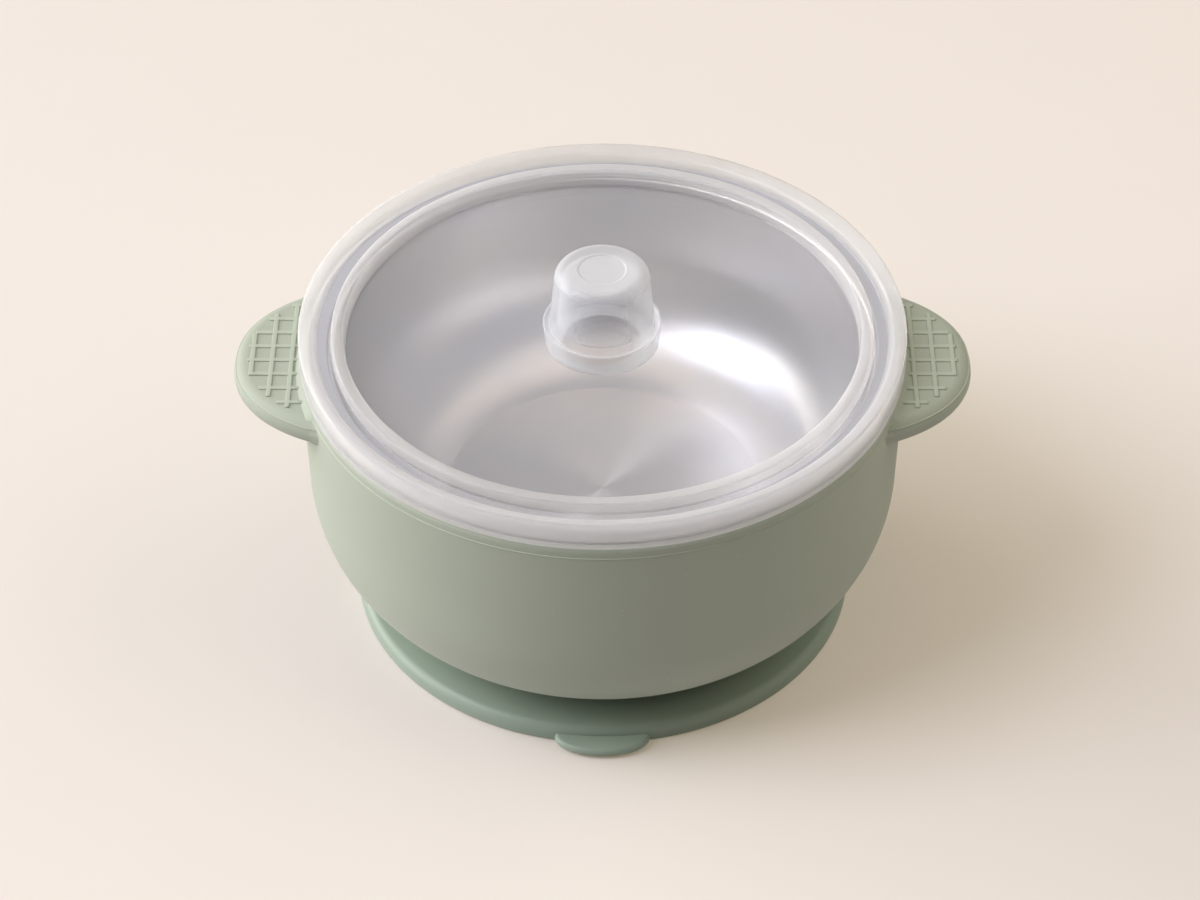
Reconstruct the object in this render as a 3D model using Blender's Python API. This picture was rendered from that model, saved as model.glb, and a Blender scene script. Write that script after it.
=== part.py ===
"""Baby suction bowl: a steel bowl in a soft sleeve on a suction cup, under a lift-off lid with a knob."""

import math

import bmesh
import bpy
from mathutils import Vector

MM = 0.001

# Roundness of the faceted solids
TURN_STEPS = 56
KNOB_STEPS = 40
FILLET_STEPS = 2
CORNER_STEPS = 6
MERGE_DISTANCE = 0.001
PAST_SOLID = 5.0

# Suction cup
CUP_RIM_RADIUS = 55.0
CUP_RIM_HEIGHT = 4.0
CUP_FOOT_OUTER = 54.0
CUP_FOOT_INNER = 50.4
CUP_WEB_RADIUS = 42.0
CUP_WEB_TOP = 5.6
CUP_WEB_THICKNESS = 2.0
CUP_SHOULDER_RADIUS = 22.0
CUP_SHOULDER_TOP = 7.6
CUP_CHAMBER_TOP = 6.2
CUP_NECK_RADIUS = 20.0
CUP_HEAD_RADIUS = 24.0
CUP_HEAD_BOTTOM = 14.1
CUP_HEAD_TOP = 18.4
CUP_HEAD_ROUND = 2.6
CUP_HEAD_UNDER_ROUND = 0.8
CUP_NECK_FILLET = 0.9
CUP_RIM_ROUND = 1.9
CUP_RIM_UNDERCUT = 0.9
CUP_CHAMBER_DROP = 0.3

# Pull tab, hinged in a notch of the cup's rim
TAB_HINGE_Y = -55.6
TAB_HINGE_Z = 1.5
TAB_HALF_WIDTH = 10.0
TAB_REACH = 3.0
TAB_END_REACH = 0.3
TAB_HALF_THICKNESS = 1.0
TAB_STATIONS = 16
TAB_ROUND_STEPS = 4
NOTCH_GAP = 0.3

# Silicone sleeve
SLEEVE_RADIUS = 64.5
SLEEVE_WAIST_RADIUS = 64.2
SLEEVE_STRAIGHT_BOTTOM = 46.0
SLEEVE_CORNER_RADIUS = 31.3
SLEEVE_CORNER_Z = 35.8
SLEEVE_BOTTOM = 9.0
SLEEVE_FLOOR = 13.8
SLEEVE_WALL = 3.6
SLEEVE_NECK_HOLE = 20.3
SLEEVE_LEDGE_BOTTOM = 57.0
SLEEVE_LEDGE_TOP = 59.0
SLEEVE_MOUTH = 59.2
SLEEVE_MOUTH_CHAMFER = 0.7
SLEEVE_LAND_TOP = 65.9
SLEEVE_LAND_RADIUS = 61.5
SLEEVE_SHOULDER_TOP = 64.8
SLEEVE_LAND_ROUND = 0.5
SLEEVE_SHOULDER_ROUND = 1.0

# Handles, a half-round slab on each side
HANDLE_CENTRE_X = 40.0
HANDLE_REACH = 36.2
HANDLE_HALF_WIDTH = 24.4
HANDLE_POWER = 2.2
HANDLE_EDGE_RADIUS = 3.0
HANDLE_MID_Z = 60.0
HANDLE_OUTLINE_POINTS = 40
HANDLE_EDGE_STEPS = 4

# Raised grip ribs on each handle's top
RIB_WIDTH = 0.9
RIB_HEIGHT = 0.5
RIB_SINK = 0.6
RIB_ROOT_X = 60.0
RIB_ROW_PITCH = 4.68
RIB_ROW_COUNT = 8
RIB_COLUMNS = (66.6, 70.85, 75.1)

# Steel bowl
BOWL_FLOOR = 25.0
BOWL_STEEL = 0.8
BOWL_CORNER_RADIUS = 24.0
BOWL_WALL_RADIUS = 57.2
BOWL_MOUTH_RADIUS = 57.9
BOWL_FLANGE_TOP = 67.0
BOWL_FLANGE_RADIUS = 62.6
BOWL_LIP_BOTTOM = 65.3
BOWL_MOUTH_ROUND = 0.9
BOWL_LIP_ROUND = 0.8
BOWL_UNDER_ROUND = 0.6

# Lid
LID_RADIUS = 65.0
LID_SKIRT_RADIUS = 64.6
LID_SKIRT_BOTTOM = 65.5
LID_LIP_TOP = 66.9
LID_SKIRT_INNER = 63.2
LID_UNDERSIDE = 68.3
LID_RING_TOP = 72.3
LID_RING_INNER = 61.9
LID_RING_OUTER = 64.9
LID_GROOVE_FLOOR = 69.2
LID_GROOVE_OUTER = 60.9
LID_RIB_OUTER = 58.1
LID_RIB_INNER = 55.0
LID_RIB_TOP = 71.0
LID_PANEL_TOP = 67.2
LID_PANEL_BOTTOM = 65.6
LID_PLUG_RADIUS = 57.4
LID_PLUG_BOTTOM = 65.0
LID_HOLE = 8.6
LID_RIB_LEAN = 0.3
LID_RIB_ROUND = 0.8
LID_PANEL_FILLET = 0.5
LID_GROOVE_FILLET = 0.4
LID_RING_INNER_ROUND = 0.9
LID_RING_OUTER_ROUND = 1.7
LID_LIP_ROUND = 0.4
LID_PLUG_ROUND = 0.6

# Seal ring between the lid and the steel rim
SEAL_INNER = 58.8
SEAL_OUTER = 62.7
SEAL_BOTTOM = 67.3
SEAL_TOP = 68.0

# Knob
KNOB_TOP = 86.4
KNOB_TOP_RADIUS = 10.0
KNOB_CAP_RADIUS = 11.3
KNOB_COLLAR_RADIUS = 12.7
KNOB_FOOT_RADIUS = 12.2
KNOB_COLLAR_TOP = 72.5
KNOB_STEP = 71.8
KNOB_FOOT = 67.5
KNOB_WALL = 1.5
KNOB_BORE = 6.9
KNOB_SPIGOT = 8.3
KNOB_SPIGOT_BOTTOM = 64.0
KNOB_BARB = 8.9
KNOB_BARB_TOP = 65.2
KNOB_MARK_RADIUS = 4.9
KNOB_MARK_DEPTH = 0.3
KNOB_TOP_ROUND = 2.2
KNOB_HOLLOW_ROUND = 1.4
KNOB_COLLAR_EDGE = 0.6
KNOB_COLLAR_ROUND = 0.3
KNOB_BORE_TOP = 70.6
KNOB_HOLLOW_BOTTOM = 72.6

# Colours as linear values with roughness and metallic
SILICONE_GREEN = ((0.36, 0.41, 0.345), 0.62, 0.0)
CUP_GREEN = ((0.30, 0.36, 0.30), 0.42, 0.0)
STEEL = ((0.56, 0.56, 0.57), 0.32, 1.0)
LID_MILK = ((0.78, 0.79, 0.80), 0.24, 0.0)
SEAL_WHITE = ((0.82, 0.82, 0.81), 0.45, 0.0)


def clear_scene():
    """Remove every object that the file starts with."""
    for item in list(bpy.data.objects):
        bpy.data.objects.remove(item, do_unlink=True)


def make_material(name, look):
    """Make one Principled material from a colour, a roughness and a metallic value."""
    colour, roughness, metallic = look
    material = bpy.data.materials.new(name)
    material.use_nodes = True
    shader = material.node_tree.nodes["Principled BSDF"]
    shader.inputs["Base Color"].default_value = (*colour, 1.0)
    shader.inputs["Roughness"].default_value = roughness
    shader.inputs["Metallic"].default_value = metallic
    return material


def add_object(name, bm, look=None):
    """Turn a bmesh into an object with outward faces and its own material."""
    bmesh.ops.recalc_face_normals(bm, faces=bm.faces)
    mesh = bpy.data.meshes.new(name)
    bm.to_mesh(mesh)
    bm.free()
    if look:
        mesh.materials.append(make_material(name, look))
    item = bpy.data.objects.new(name, mesh)
    bpy.context.scene.collection.objects.link(item)
    return item


def arc(centre, radius, start, end, steps):
    """Points on a circle from one angle to another, both in degrees."""
    points = []
    for step in range(steps + 1):
        angle = math.radians(start + (end - start) * step / steps)
        points.append((centre[0] + radius * math.cos(angle), centre[1] + radius * math.sin(angle)))
    return points


def fillet(before, here, after, radius):
    """Points that round one corner of a profile."""
    corner = Vector(here)
    back = (Vector(before) - corner).normalized()
    ahead = (Vector(after) - corner).normalized()
    half = back.angle(ahead) / 2
    centre = corner + (back + ahead).normalized() * (radius / math.sin(half))
    first = corner + back * (radius / math.tan(half)) - centre
    last = corner + ahead * (radius / math.tan(half)) - centre
    start = math.degrees(math.atan2(first.y, first.x))
    sweep = math.degrees(math.atan2(last.y, last.x)) - start
    sweep = (sweep + 180) % 360 - 180
    return arc(centre, radius, start, start + sweep, FILLET_STEPS)


def rounded(corners):
    """Turn corners of radius, height and fillet into profile points."""
    points = []
    for index, (radius, height, round_off) in enumerate(corners):
        here = (radius, height)
        if round_off:
            before = corners[index - 1][:2]
            after = corners[(index + 1) % len(corners)][:2]
            points.extend(fillet(before, here, after, round_off))
        else:
            points.append(here)
    return points


def revolve(profile, steps):
    """Spin a profile about the Z axis: a loop makes a ring, ends on the axis make a solid."""
    bm = bmesh.new()
    verts = [bm.verts.new((radius * MM, 0, height * MM)) for radius, height in profile]
    edges = [bm.edges.new(pair) for pair in zip(verts, verts[1:])]
    if profile[0][0] > 0:
        edges.append(bm.edges.new((verts[-1], verts[0])))
    bmesh.ops.spin(
        bm, geom=verts + edges, cent=(0, 0, 0), axis=(0, 0, 1), angle=math.tau,
        steps=steps, use_merge=True, use_duplicate=False,
    )
    bmesh.ops.remove_doubles(bm, verts=bm.verts, dist=MERGE_DISTANCE * MM)
    return bm


def add_boolean(target, shape, operation):
    """Join or cut the target with a hidden shape."""
    shape.hide_render = True
    shape.display_type = "WIRE"
    modifier = target.modifiers.new(shape.name, "BOOLEAN")
    modifier.operation = operation
    modifier.solver = "EXACT"
    modifier.use_self = True
    modifier.object = shape


def box(bm, low, high):
    """Add a box between two corners given in millimetres."""
    made = bmesh.ops.create_cube(bm, size=1.0)["verts"]
    size = [(b - a) * MM for a, b in zip(low, high)]
    centre = [(a + b) / 2 * MM for a, b in zip(low, high)]
    bmesh.ops.scale(bm, vec=size, verts=made)
    bmesh.ops.translate(bm, vec=centre, verts=made)


def loft(rings):
    """Skin closed rings of points and cap both ends."""
    bm = bmesh.new()
    loops = [[bm.verts.new([value * MM for value in point]) for point in ring] for ring in rings]
    count = len(loops[0])
    for lower, upper in zip(loops, loops[1:]):
        for index in range(count):
            after = (index + 1) % count
            bm.faces.new((lower[index], lower[after], upper[after], upper[index]))
    bm.faces.new(loops[0])
    bm.faces.new(loops[-1])
    return bm


def cup_profile():
    """Half section of the suction cup, from the head's top to the chamber's top."""
    web_under = CUP_WEB_TOP - CUP_WEB_THICKNESS
    return rounded([
        (0, CUP_HEAD_TOP, 0),
        (CUP_HEAD_RADIUS, CUP_HEAD_TOP, CUP_HEAD_ROUND),
        (CUP_HEAD_RADIUS, CUP_HEAD_BOTTOM, CUP_HEAD_UNDER_ROUND),
        (CUP_NECK_RADIUS, CUP_HEAD_BOTTOM, 0),
        (CUP_NECK_RADIUS, CUP_SHOULDER_TOP, CUP_NECK_FILLET),
        (CUP_WEB_RADIUS, CUP_WEB_TOP, 0),
        (CUP_RIM_RADIUS, CUP_RIM_HEIGHT, CUP_RIM_ROUND),
        (CUP_RIM_RADIUS, CUP_RIM_UNDERCUT, 0),
        (CUP_FOOT_OUTER, 0, 0),
        (CUP_FOOT_INNER, 0, 0),
        (CUP_WEB_RADIUS, web_under, 0),
        (CUP_SHOULDER_RADIUS, CUP_CHAMBER_TOP - CUP_CHAMBER_DROP, 0),
        (0, CUP_CHAMBER_TOP, 0),
    ])


def build_cup():
    """Suction cup with the notch that holds the pull tab's root."""
    cup = add_object("suction_cup", revolve(cup_profile(), TURN_STEPS), CUP_GREEN)
    notch = bmesh.new()
    side = TAB_HALF_WIDTH + NOTCH_GAP
    back = TAB_HINGE_Y + TAB_HALF_THICKNESS + NOTCH_GAP
    front = -CUP_RIM_RADIUS - PAST_SOLID
    box(notch, (-side, front, -PAST_SOLID), (side, back, CUP_RIM_HEIGHT + PAST_SOLID))
    add_boolean(cup, add_object("notch_shape", notch), "DIFFERENCE")


def tab_reach(across):
    """How far the tab sticks out at one place across its width."""
    share = 1 - (across / TAB_HALF_WIDTH) ** 2
    return TAB_END_REACH + (TAB_REACH - TAB_END_REACH) * share


def tab_section(across):
    """Rounded bar section of the tab, seen from its side, about the hinge line."""
    root = arc((0, 0), TAB_HALF_THICKNESS, 90, -90, TAB_ROUND_STEPS)
    tip = arc((-tab_reach(across), 0), TAB_HALF_THICKNESS, 270, 90, TAB_ROUND_STEPS)
    return [(across, out, up) for out, up in root + tip]


def build_tab():
    """Pull tab whose origin lies on its hinge line."""
    places = [TAB_HALF_WIDTH * (2 * step / TAB_STATIONS - 1) for step in range(TAB_STATIONS + 1)]
    tab = add_object("pull_tab", loft([tab_section(place) for place in places]), CUP_GREEN)
    tab.location = (0, TAB_HINGE_Y * MM, TAB_HINGE_Z * MM)


def corner_line(radius, bottom):
    """The sleeve's rounded lower corner, from its waist down to one height."""
    centre = (SLEEVE_WAIST_RADIUS - SLEEVE_CORNER_RADIUS, SLEEVE_CORNER_Z)
    end = -math.degrees(math.asin((SLEEVE_CORNER_Z - bottom) / radius))
    return arc(centre, radius, 0, end, CORNER_STEPS)


def sleeve_outside():
    """Half section of the sleeve's outer solid."""
    top = rounded([
        (0, SLEEVE_LAND_TOP, 0),
        (SLEEVE_LAND_RADIUS, SLEEVE_LAND_TOP, SLEEVE_LAND_ROUND),
        (SLEEVE_LAND_RADIUS, SLEEVE_SHOULDER_TOP, 0),
        (SLEEVE_RADIUS, SLEEVE_SHOULDER_TOP, SLEEVE_SHOULDER_ROUND),
        (SLEEVE_RADIUS, SLEEVE_STRAIGHT_BOTTOM, 0),
    ])
    return top + corner_line(SLEEVE_CORNER_RADIUS, SLEEVE_BOTTOM) + [(0, SLEEVE_BOTTOM)]


def sleeve_inside():
    """Half section of the space inside the sleeve, with the hole for the cup's neck."""
    above = SLEEVE_LAND_TOP + PAST_SOLID
    below = SLEEVE_BOTTOM - PAST_SOLID
    wall = SLEEVE_RADIUS - SLEEVE_WALL
    edge = SLEEVE_MOUTH + SLEEVE_MOUTH_CHAMFER
    mouth = [
        (0, above),
        (edge, above),
        (edge, SLEEVE_LAND_TOP),
        (SLEEVE_MOUTH, SLEEVE_LAND_TOP - SLEEVE_MOUTH_CHAMFER),
        (SLEEVE_MOUTH, SLEEVE_LEDGE_TOP),
        (wall, SLEEVE_LEDGE_BOTTOM),
        (wall, SLEEVE_STRAIGHT_BOTTOM),
    ]
    lower = corner_line(SLEEVE_CORNER_RADIUS - SLEEVE_WALL, SLEEVE_FLOOR)
    hole = [(SLEEVE_NECK_HOLE, SLEEVE_FLOOR), (SLEEVE_NECK_HOLE, below), (0, below)]
    return mouth + lower + hole


def handle_outline(grow, height):
    """Egg-shaped outline of one handle at one height, grown outward by a distance."""
    ring = []
    for index in range(HANDLE_OUTLINE_POINTS):
        angle = math.tau * index / HANDLE_OUTLINE_POINTS
        across = math.copysign(abs(math.cos(angle)) ** (2 / HANDLE_POWER), math.cos(angle))
        along = math.copysign(abs(math.sin(angle)) ** (2 / HANDLE_POWER), math.sin(angle))
        x = HANDLE_CENTRE_X + (HANDLE_REACH + grow) * across
        ring.append((x, (HANDLE_HALF_WIDTH + grow) * along, height))
    return ring


def handle_mesh():
    """One handle slab with a half-round edge, on the +X side."""
    rings = []
    for grow, height in arc((0, HANDLE_MID_Z), HANDLE_EDGE_RADIUS, -90, 90, 2 * HANDLE_EDGE_STEPS):
        rings.append(handle_outline(grow, height))
    return loft(rings)


def rib_end(value, full, other_full):
    """Where a rib stops, at the handle's centre outline."""
    share = max(0.0, 1 - (abs(value) / full) ** HANDLE_POWER)
    return other_full * share ** (1 / HANDLE_POWER)


def rib_mesh():
    """The crossing ribs on the +X handle."""
    bm = bmesh.new()
    top = HANDLE_MID_Z + HANDLE_EDGE_RADIUS
    low, high = top - RIB_SINK, top + RIB_HEIGHT
    half = RIB_WIDTH / 2
    for row in range(RIB_ROW_COUNT):
        y = (row - (RIB_ROW_COUNT - 1) / 2) * RIB_ROW_PITCH
        end = HANDLE_CENTRE_X + rib_end(y, HANDLE_HALF_WIDTH, HANDLE_REACH)
        box(bm, (RIB_ROOT_X, y - half, low), (end, y + half, high))
    for x in RIB_COLUMNS:
        end = rib_end(x - HANDLE_CENTRE_X, HANDLE_REACH, HANDLE_HALF_WIDTH)
        box(bm, (x - half, -end, low), (x + half, end, high))
    return bm


def mirrored(bm):
    """Turn a +X piece into the matching one on the -X side."""
    bmesh.ops.scale(bm, vec=(-1, 1, 1), verts=bm.verts)
    return bm


def build_sleeve():
    """Sleeve with its two ribbed handles and the hollow for the steel bowl."""
    sleeve = add_object("silicone_sleeve", revolve(sleeve_outside(), TURN_STEPS), SILICONE_GREEN)
    add_boolean(sleeve, add_object("handle_right_shape", handle_mesh()), "UNION")
    add_boolean(sleeve, add_object("handle_left_shape", mirrored(handle_mesh())), "UNION")
    add_boolean(sleeve, add_object("ribs_right_shape", rib_mesh()), "UNION")
    add_boolean(sleeve, add_object("ribs_left_shape", mirrored(rib_mesh())), "UNION")
    space = add_object("sleeve_space_shape", revolve(sleeve_inside(), TURN_STEPS))
    add_boolean(sleeve, space, "DIFFERENCE")


def bowl_profile():
    """Half section of the steel bowl, inside from the floor up, then back down outside."""
    centre = (BOWL_WALL_RADIUS - BOWL_CORNER_RADIUS, BOWL_FLOOR + BOWL_CORNER_RADIUS)
    inside = [(0, BOWL_FLOOR)] + arc(centre, BOWL_CORNER_RADIUS, -90, 0, CORNER_STEPS)
    outside = arc(centre, BOWL_CORNER_RADIUS + BOWL_STEEL, 0, -90, CORNER_STEPS)
    under = BOWL_FLANGE_TOP - BOWL_STEEL
    rim = rounded([
        (BOWL_WALL_RADIUS, centre[1], 0),
        (BOWL_MOUTH_RADIUS, BOWL_FLANGE_TOP, BOWL_MOUTH_ROUND),
        (BOWL_FLANGE_RADIUS, BOWL_FLANGE_TOP, BOWL_LIP_ROUND),
        (BOWL_FLANGE_RADIUS, BOWL_LIP_BOTTOM, 0),
        (BOWL_FLANGE_RADIUS - BOWL_STEEL, BOWL_LIP_BOTTOM, 0),
        (BOWL_FLANGE_RADIUS - BOWL_STEEL, under, 0),
        (BOWL_MOUTH_RADIUS + BOWL_STEEL, under, BOWL_UNDER_ROUND),
        (BOWL_WALL_RADIUS + BOWL_STEEL, centre[1], 0),
    ])
    return inside + rim[1:-1] + outside + [(0, BOWL_FLOOR - BOWL_STEEL)]


def lid_profile():
    """Closed section of the lid, over the top from the knob's hole and back underneath."""
    return rounded([
        (LID_HOLE, LID_PANEL_TOP, 0),
        (LID_RIB_INNER, LID_PANEL_TOP, LID_PANEL_FILLET),
        (LID_RIB_INNER + LID_RIB_LEAN, LID_RIB_TOP, LID_RIB_ROUND),
        (LID_RIB_OUTER - LID_RIB_LEAN, LID_RIB_TOP, LID_RIB_ROUND),
        (LID_RIB_OUTER, LID_GROOVE_FLOOR, 0),
        (LID_GROOVE_OUTER, LID_GROOVE_FLOOR, LID_GROOVE_FILLET),
        (LID_RING_INNER, LID_RING_TOP, LID_RING_INNER_ROUND),
        (LID_RING_OUTER, LID_RING_TOP, LID_RING_OUTER_ROUND),
        (LID_SKIRT_RADIUS, LID_LIP_TOP + LID_LIP_ROUND, 0),
        (LID_RADIUS, LID_LIP_TOP, 0),
        (LID_RADIUS, LID_SKIRT_BOTTOM, LID_LIP_ROUND),
        (LID_SKIRT_INNER, LID_SKIRT_BOTTOM, LID_LIP_ROUND),
        (LID_SKIRT_INNER, LID_UNDERSIDE, 0),
        (LID_PLUG_RADIUS, LID_UNDERSIDE, 0),
        (LID_PLUG_RADIUS, LID_PLUG_BOTTOM, LID_PLUG_ROUND),
        (LID_RIB_INNER, LID_PLUG_BOTTOM, 0),
        (LID_RIB_INNER - LID_PLUG_ROUND, LID_PANEL_BOTTOM, 0),
        (LID_HOLE, LID_PANEL_BOTTOM, 0),
    ])


def seal_profile():
    """Closed section of the seal ring."""
    return rounded([
        (SEAL_INNER, SEAL_TOP, 0),
        (SEAL_OUTER, SEAL_TOP, 0),
        (SEAL_OUTER, SEAL_BOTTOM, 0),
        (SEAL_INNER, SEAL_BOTTOM, 0),
    ])


def knob_profile():
    """Half section of the hollow knob, outside from the top, then up its bore."""
    mark = KNOB_TOP - KNOB_MARK_DEPTH
    return rounded([
        (0, mark, 0),
        (KNOB_MARK_RADIUS, mark, 0),
        (KNOB_MARK_RADIUS + KNOB_MARK_DEPTH, KNOB_TOP, 0),
        (KNOB_TOP_RADIUS, KNOB_TOP, KNOB_TOP_ROUND),
        (KNOB_CAP_RADIUS, KNOB_STEP, 0),
        (KNOB_COLLAR_RADIUS - KNOB_COLLAR_EDGE, KNOB_STEP, 0),
        (KNOB_COLLAR_RADIUS - KNOB_COLLAR_EDGE, KNOB_COLLAR_TOP, 0),
        (KNOB_COLLAR_RADIUS, KNOB_COLLAR_TOP, KNOB_COLLAR_ROUND),
        (KNOB_FOOT_RADIUS, KNOB_FOOT, 0),
        (KNOB_SPIGOT, KNOB_FOOT, 0),
        (KNOB_SPIGOT, KNOB_BARB_TOP, 0),
        (KNOB_BARB, KNOB_BARB_TOP, 0),
        (KNOB_SPIGOT, KNOB_SPIGOT_BOTTOM, 0),
        (KNOB_BORE, KNOB_SPIGOT_BOTTOM, 0),
        (KNOB_BORE, KNOB_BORE_TOP, 0),
        (KNOB_CAP_RADIUS - KNOB_WALL, KNOB_HOLLOW_BOTTOM, 0),
        (KNOB_TOP_RADIUS - KNOB_WALL, KNOB_TOP - KNOB_WALL, KNOB_HOLLOW_ROUND),
        (0, KNOB_TOP - KNOB_WALL, 0),
    ])


def shade_smooth():
    """Shade the round surfaces of every visible piece smooth."""
    for item in bpy.data.objects:
        if item.type == "MESH" and not item.hide_render:
            item.data.shade_smooth()


def main():
    """Build every piece in place."""
    clear_scene()
    build_cup()
    build_tab()
    build_sleeve()
    add_object("steel_bowl", revolve(bowl_profile(), TURN_STEPS), STEEL)
    add_object("lid_shell", revolve(lid_profile(), TURN_STEPS), LID_MILK)
    add_object("lid_seal", revolve(seal_profile(), TURN_STEPS), SEAL_WHITE)
    add_object("lid_knob", revolve(knob_profile(), KNOB_STEPS), LID_MILK)
    shade_smooth()


main()
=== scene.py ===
"""Baby suction bowl: the looks of every piece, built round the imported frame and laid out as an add-on."""

import math

import bmesh
import bpy
from bpy.props import FloatProperty, FloatVectorProperty, PointerProperty
from mathutils import Euler, Matrix, Vector


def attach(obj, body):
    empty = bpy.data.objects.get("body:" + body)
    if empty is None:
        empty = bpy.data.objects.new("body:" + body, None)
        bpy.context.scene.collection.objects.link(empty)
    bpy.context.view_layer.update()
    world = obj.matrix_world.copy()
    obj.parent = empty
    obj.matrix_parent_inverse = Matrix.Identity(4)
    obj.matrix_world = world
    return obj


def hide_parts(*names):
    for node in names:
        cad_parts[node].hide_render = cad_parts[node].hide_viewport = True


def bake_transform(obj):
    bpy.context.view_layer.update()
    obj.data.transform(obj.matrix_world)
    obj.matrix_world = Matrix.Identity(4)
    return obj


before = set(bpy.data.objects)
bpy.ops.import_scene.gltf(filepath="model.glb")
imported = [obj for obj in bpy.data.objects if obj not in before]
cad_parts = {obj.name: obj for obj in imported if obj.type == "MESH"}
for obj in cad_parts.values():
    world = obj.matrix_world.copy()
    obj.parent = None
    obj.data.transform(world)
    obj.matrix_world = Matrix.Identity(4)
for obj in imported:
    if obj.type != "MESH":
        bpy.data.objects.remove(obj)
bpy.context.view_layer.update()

bl_info = {
    "name": "Suction bowl",
    "version": (1, 0, 0),
    "blender": (4, 5, 0),
    "location": "3D View > Sidebar > Suction bowl",
    "description": "Models a steel baby bowl in its silicone sleeve, with a suction cup and a clear lid",
    "category": "Mesh",
}

MM = 0.001
MERGE_DISTANCE = 0.001 * MM
SMOOTH_ANGLE = math.radians(32)
NODE_STEP = 200

# Steps round a full turn, each a sector's steps doubled a few times
SECTOR_STEPS = 8
SLEEVE_TURN = 512
WIDE_TURN = 256
SMALL_TURN = 128

# Steps of the arcs and of the straight rows in the half sections
SLEEVE_INNER_ARC = 14
SLEEVE_OUTER_ARC = 26
SLEEVE_ROWS = 32
STEEL_ARC = 28
STEEL_ROWS = 10
STEEL_FLOOR_ROWS = 4

# Steps of a rounded corner, from the finest edge to the knob's top, and the round shape of a bevel
TINY_CORNER = 3
SMALL_CORNER = 4
PLAIN_CORNER = 5
SOFT_CORNER = 6
BROAD_CORNER = 8
TOP_CORNER = 10
ROUND_PROFILE = 0.5

# Handles: egg outline, fineness, grip ribs, and the core that clears their inner ends
HANDLE_POWER = 2.2
HANDLE_POINTS = 160
HANDLE_EDGE_STEPS = 16
RIB_ROWS = 8
RIB_COLUMNS = 3
RIB_ROUNDING = 0.24
RIB_START = 0.4 * MM
CORE_BOTTOM = 50.0 * MM
CORE_TOP = 70.0 * MM

# Parting lines: half height on the wall and the plain wall below, place and width round a handle's edge
PARTING_HALF = 0.12 * MM
PARTING_CLEAR = 4 * PARTING_HALF
PARTING_TURN = math.radians(34)
PARTING_WIDTH = math.radians(2.5)

# Fillets at the handles' roots: where they end along the wall, how they run out, skin depth and spread
ROOT_HALF_LONG = 21.1 * MM
ROOT_STRETCH = 0.735
ROOT_LEAN = 0.95
ROOT_SKIN = 0.3 * MM
ROOT_SPREAD = 1.2

# Pull tab: how flat its hidden half is, and its fineness
TAB_SUNK = 0.6
TAB_EDGE_STEPS = 10
TAB_POINTS = 96

# Where one finish of the plastic gives way to the next
FINISH_MARGIN = 0.1 * MM
INNER_MARGIN = 1.6 * MM
FLAT_FACE = 0.999

# Silicone: roughness and dust of each piece, and the bands of rib tops and parting lines lightened as a
# painted highlight
SLEEVE_SURFACE = (0.58, 0.16)
CUP_SURFACE = (0.42, 0.10)
SEAL_SURFACE = (0.5, 0.1)
SILICONE_DRIFT = 0.10
SILICONE_RELIEF = 0.35
SILICONE_GLOSS = 0.38
BLOOM_WEIGHT = 0.12
BLOOM_ROUGHNESS = 0.45
PAINTED_HIGHLIGHT_GAIN = 1.12
PAINTED_HIGHLIGHT_HALF = 0.13 * MM
PAINTED_HIGHLIGHT_DEPTH = 0.4 * MM
PAINTED_HIGHLIGHT_RIB = (0.3, 1.5)

# Grain that all mouldings share: noise scaled per metre, dust colour and the size of a speck
DRIFT_NOISE = {"Scale": 26.0, "Detail": 3.0}
FINE_NOISE = {"Scale": 1900.0, "Detail": 2.0}
SPECK_CELLS = {"Scale": 210.0, "Randomness": 1.0}
SPECK_EDGE = (0.035, 0.055)
DUST_COLOUR = (0.85, 0.83, 0.78, 1.0)
GRAIN_SOCKETS = (
    ("Colour", "INPUT", "NodeSocketColor"),
    ("Drift", "INPUT", "NodeSocketFloat"),
    ("Dust", "INPUT", "NodeSocketFloat"),
    ("Roughness", "INPUT", "NodeSocketFloat"),
    ("Colour", "OUTPUT", "NodeSocketColor"),
    ("Roughness", "OUTPUT", "NodeSocketFloat"),
    ("Height", "OUTPUT", "NodeSocketFloat"),
)
ROUGHNESS_SWING = 1.2
GRAIN_DEPTH = 0.05 * MM

# Steel: roughness, and how far the highlight is stretched and turned on wall and floor
STEEL_ROUGHNESS = 0.34
STEEL_STREAK = 0.01
WALL_STRETCH = (0.4, 0.0)
FLOOR_STRETCH = (0.85, 0.25)
COOL_TONE = (0.95, 0.965, 1.005)
WARM_TONE = (1.06, 1.012, 0.985)
CLOUD_RANGE = (0.36, 0.64)
STREAK_RANGE = (0.6, 1.4)
RING_FINE_NOISE = {"Scale": 1200.0, "Detail": 1.0}
RING_BROAD_NOISE = {"Scale": 160.0, "Detail": 2.0}
CLOUD_NOISE = {"Scale": 45.0, "Detail": 4.0}
STEEL_RELIEF = 0.02
STEEL_DEPTH = 0.02 * MM

# Finishes of the plastic: roughness, cover face on, cover edge on and inner glow
CLEAR_LID = (0.08, 0.10, 0.22, 0.0)
MILKY_LID = (0.2, 0.36, 0.88, 1.0)
EDGE_LID = (0.2, 0.8, 0.95, 1.0)
CLEAR_KNOB = (0.1, 0.17, 0.64, 0.0)
MILKY_KNOB = (0.15, 0.22, 0.76, 0.0)
INNER_KNOB = (0.1, 0.02, 0.12, 0.0)
FOOT_KNOB = (0.15, 0.5, 0.85, 1.0)
PLASTIC_DRIFT = 0.05
PLASTIC_DUST = 0.1
GLOW_REACH = 14.0 * MM
SHADOW_SHARE = 0.35

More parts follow.
